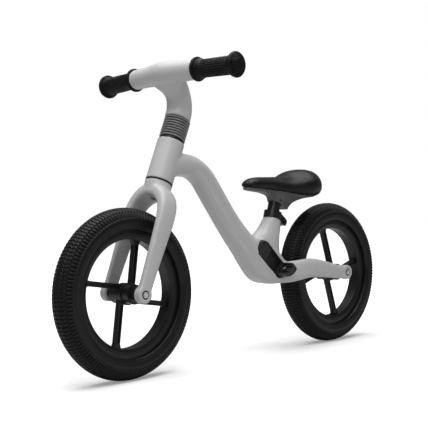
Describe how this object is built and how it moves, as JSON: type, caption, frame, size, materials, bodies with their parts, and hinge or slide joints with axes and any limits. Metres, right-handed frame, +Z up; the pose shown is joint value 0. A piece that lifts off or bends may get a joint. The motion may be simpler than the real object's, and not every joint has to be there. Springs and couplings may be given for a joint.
{
  "type": "balance bike",
  "caption": "Child's balance bike with a cast curved frame, steering fork and handlebar, spoked wheels with air tyres, height-adjustable saddle and fold-out footrests.",
  "frame": {"origin": "centre of the bounding box on the floor, midway between the axles on the bike's middle plane", "axes": "+X forwards from the rear wheel to the front wheel, +Y to the rider's left, +Z up"},
  "size_m": [0.88, 0.3526, 0.5645],
  "materials": {
    "cast_alloy": "matte",
    "black_rubber": "matte",
    "tyre_rubber": "matte",
    "saddle_cover": "matte",
    "grey_plastic": "matte",
    "black_plastic": "satin",
    "black_metal": "satin",
    "steel": "satin"
  },
  "bodies": {
    "chassis": {"frame": "cast_alloy", "lower_headset_bearing": "steel", "upper_headset_bearing": "steel", "rear_axle": "steel", "rear_axle_spacers": "black_plastic", "rear_axle_washers": "black_plastic", "rear_axle_bolts": "steel", "seat_clamp": "black_metal", "seat_clamp_bolt": "steel", "seat_clamp_nut": "steel", "footrest_tray_left": "black_plastic", "footrest_tray_right": "black_plastic", "footrest_pin_left": "steel", "footrest_pin_right": "steel", "tray_screws": "black_metal"},
    "steering": {"fork": "cast_alloy", "steerer_tube": "steel", "crown_bolt": "steel", "steering_limiter": "black_plastic", "headset_locknut": "black_metal", "steering_collar": "black_plastic", "headset_seal": "black_rubber", "stem": "cast_alloy", "stem_screws": "steel", "handlebar_tube_left": "steel", "handlebar_tube_right": "steel", "handlebar_screws": "steel", "grip_left": "black_rubber", "grip_right": "black_rubber", "front_axle": "steel", "front_axle_spacers": "black_plastic", "front_axle_washers": "black_plastic", "front_axle_bolts": "steel"},
    "front_wheel_set": {"front_wheel": "black_plastic", "front_tyre": "tyre_rubber", "front_inner_tube": "black_rubber", "front_valve": "steel", "front_valve_cap": "black_plastic", "front_hub_bearings": "steel", "front_bearing_spacer": "steel"},
    "rear_wheel_set": {"rear_wheel": "black_plastic", "rear_tyre": "tyre_rubber", "rear_inner_tube": "black_rubber", "rear_valve": "steel", "rear_valve_cap": "black_plastic", "rear_hub_bearings": "steel", "rear_bearing_spacer": "steel"},
    "seat": {"seat_post": "black_metal", "saddle_base": "grey_plastic", "saddle_pad": "saddle_cover", "saddle_bolt": "black_metal"},
    "left_footrest": {"footrest_left": "black_plastic", "footrest_screw_left": "steel"},
    "right_footrest": {"footrest_right": "black_plastic", "footrest_screw_right": "steel"}
  },
  "joints": [
    {"name": "steering_turn", "type": "hinge", "parent": "chassis", "child": "steering", "pos_m": [0.29, 0, 0.15], "axis": [-0.4067, 0, 0.9135], "range_deg": [-40, 40]},
    {"name": "front_wheel_spin", "type": "hinge", "parent": "steering", "child": "front_wheel_set", "pos_m": [0.29, 0, 0.15], "axis": [0, 1, 0], "continuous": true},
    {"name": "rear_wheel_spin", "type": "hinge", "parent": "chassis", "child": "rear_wheel_set", "pos_m": [-0.29, 0, 0.15], "axis": [0, 1, 0], "continuous": true},
    {"name": "seat_height", "type": "slide", "parent": "chassis", "child": "seat", "axis": [-0.2924, 0, 0.9563], "range_m": [0, 0.05]},
    {"name": "left_footrest_fold", "type": "hinge", "parent": "chassis", "child": "left_footrest", "pos_m": [-0.0968, 0.022, 0.168], "axis": [0.6972, 0, -0.7169], "range_deg": [0, 90]},
    {"name": "right_footrest_fold", "type": "hinge", "parent": "chassis", "child": "right_footrest", "pos_m": [-0.0968, -0.022, 0.168], "axis": [-0.6972, 0, 0.7169], "range_deg": [0, 90]}
  ]
}
